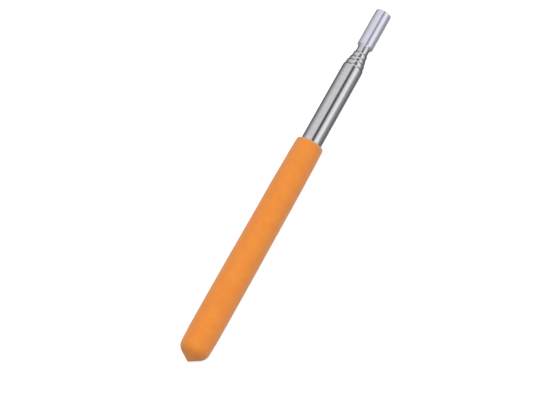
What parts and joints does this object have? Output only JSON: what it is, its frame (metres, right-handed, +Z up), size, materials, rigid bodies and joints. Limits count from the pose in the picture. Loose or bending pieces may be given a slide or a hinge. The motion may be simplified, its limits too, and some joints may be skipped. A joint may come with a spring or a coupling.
{
  "type": "magnetic pickup tool",
  "caption": "Pen-type telescopic magnetic pick-up tool: a soft grip, nested steel tubes that pull out and turn, and a magnet at the tip for dropped steel parts.",
  "frame": {"origin": "on the surface that the tool lies on, under the middle of its closed length", "axes": "+X along the tool from the grip to the magnet, +Z up from the surface, +Y across the tool"},
  "size_m": [0.172, 0.0134, 0.0134],
  "materials": {
    "foam": "matte closed-cell foam, orange",
    "steel": "fine ground stainless tube",
    "bright_steel": "blue-white zinc plate",
    "brass": "turned",
    "bronze": "rolled spring strip",
    "plug_plastic": "moulded nylon",
    "sleeve_plastic": "moulded",
    "magnet_nickel": "nickel plated, satin"
  },
  "bodies": {
    "handle": {"grip_sleeve": "foam", "outer_tube": "steel", "tube_end_plug": "plug_plastic"},
    "friction_ring_2": {"section_2_spring": "bronze"},
    "section_2": {"section_2_tube": "steel", "section_2_bush": "brass"},
    "friction_ring_3": {"section_3_spring": "bronze"},
    "section_3": {"section_3_tube": "steel", "section_3_bush": "brass"},
    "friction_ring_4": {"section_4_spring": "bronze"},
    "section_4": {"section_4_tube": "steel", "section_4_bush": "brass"},
    "friction_ring_5": {"section_5_spring": "bronze"},
    "section_5": {"section_5_tube": "steel", "section_5_bush": "brass", "head_stem": "steel", "head_shell": "bright_steel", "pole_plate": "steel", "magnet_sleeve": "sleeve_plastic", "magnet": "magnet_nickel"}
  },
  "joints": [
    {"name": "extend_2", "type": "slide", "parent": "handle", "child": "friction_ring_2", "axis": [1, 0, 0], "range_m": [0, 0.12475]},
    {"name": "twist_2", "type": "hinge", "parent": "friction_ring_2", "child": "section_2", "pos_m": [0, 0, 0.0067], "axis": [1, 0, 0], "continuous": true},
    {"name": "extend_3", "type": "slide", "parent": "section_2", "child": "friction_ring_3", "axis": [1, 0, 0], "range_m": [0, 0.11705]},
    {"name": "twist_3", "type": "hinge", "parent": "friction_ring_3", "child": "section_3", "pos_m": [0, 0, 0.0067], "axis": [1, 0, 0], "continuous": true},
    {"name": "extend_4", "type": "slide", "parent": "section_3", "child": "friction_ring_4", "axis": [1, 0, 0], "range_m": [0, 0.10895]},
    {"name": "twist_4", "type": "hinge", "parent": "friction_ring_4", "child": "section_4", "pos_m": [0, 0, 0.0067], "axis": [1, 0, 0], "continuous": true},
    {"name": "extend_5", "type": "slide", "parent": "section_4", "child": "friction_ring_5", "axis": [1, 0, 0], "range_m": [0, 0.10145]},
    {"name": "twist_5", "type": "hinge", "parent": "friction_ring_5", "child": "section_5", "pos_m": [0, 0, 0.0067], "axis": [1, 0, 0], "continuous": true}
  ]
}
